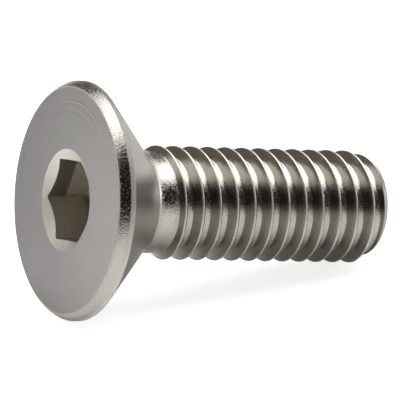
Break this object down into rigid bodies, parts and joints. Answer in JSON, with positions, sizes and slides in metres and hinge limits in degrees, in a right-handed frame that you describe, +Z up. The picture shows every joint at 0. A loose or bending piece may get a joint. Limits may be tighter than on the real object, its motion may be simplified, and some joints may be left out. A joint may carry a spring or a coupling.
{
  "type": "countersunk socket screw",
  "caption": "Machine screw with a flat countersunk head, a hexagon socket and a full metric thread, lying on its side.",
  "frame": {"origin": "on the surface that the screw lies on, under the middle of its bounding box", "axes": "+Z up; +X from the head towards the tip, along the screw's axis seen from above; the axis slopes down towards the tip because the screw lies on its rim and its thread"},
  "size_m": [0.0188, 0.012, 0.0119],
  "materials": {
    "steel": "satin, with a polished band round the head and bright thread flanks"
  },
  "bodies": {
    "root": {"screw": "steel"}
  },
  "joints": []
}
